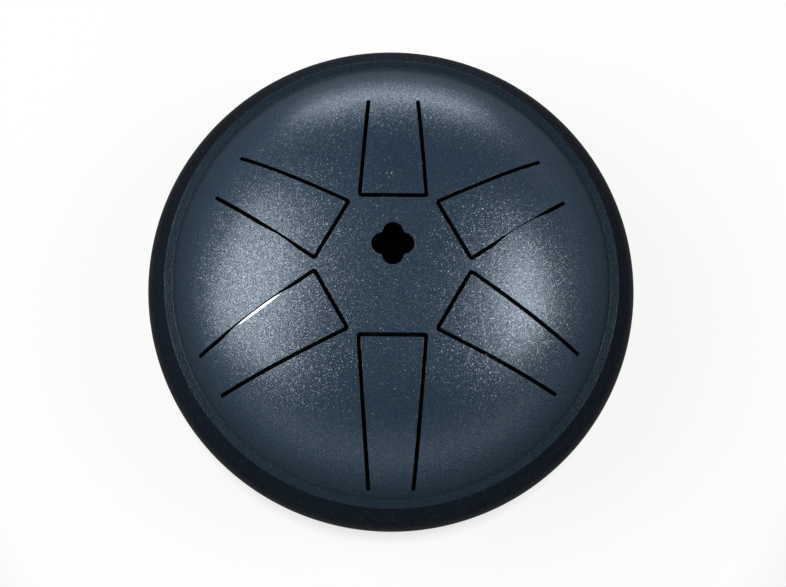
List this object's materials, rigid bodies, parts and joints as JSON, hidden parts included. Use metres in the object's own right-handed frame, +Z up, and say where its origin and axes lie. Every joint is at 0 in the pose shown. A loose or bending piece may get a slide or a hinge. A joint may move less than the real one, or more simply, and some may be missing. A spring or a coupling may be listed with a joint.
{
  "type": "tongue drum",
  "caption": "Small steel tongue drum: a slotted dome with a four-lobed sound hole, welded to a round bowl with a sound port, on rubber feet.",
  "frame": {"origin": "on the ground under the middle of the drum, at the height of the feet's undersides", "axes": "+Z up through the crown; -Y towards the player, where the longest tongue points; +X to the player's right"},
  "size_m": [0.14, 0.14, 0.0761],
  "materials": {
    "paint": "dark navy satin powder coat with a fine metallic grain, over steel sheet",
    "rubber": "matt black moulded rubber",
    "zinc": "zinc-plated steel fasteners"
  },
  "bodies": {
    "root": {"top_shell": "paint", "bottom_shell": "paint", "rim_weld": "paint", "foot_back": "rubber", "washer_back": "zinc", "screw_back": "zinc", "nut_back": "zinc", "foot_front_left": "rubber", "washer_front_left": "zinc", "screw_front_left": "zinc", "nut_front_left": "zinc", "foot_front_right": "rubber", "washer_front_right": "zinc", "screw_front_right": "zinc", "nut_front_right": "zinc"}
  },
  "joints": []
}
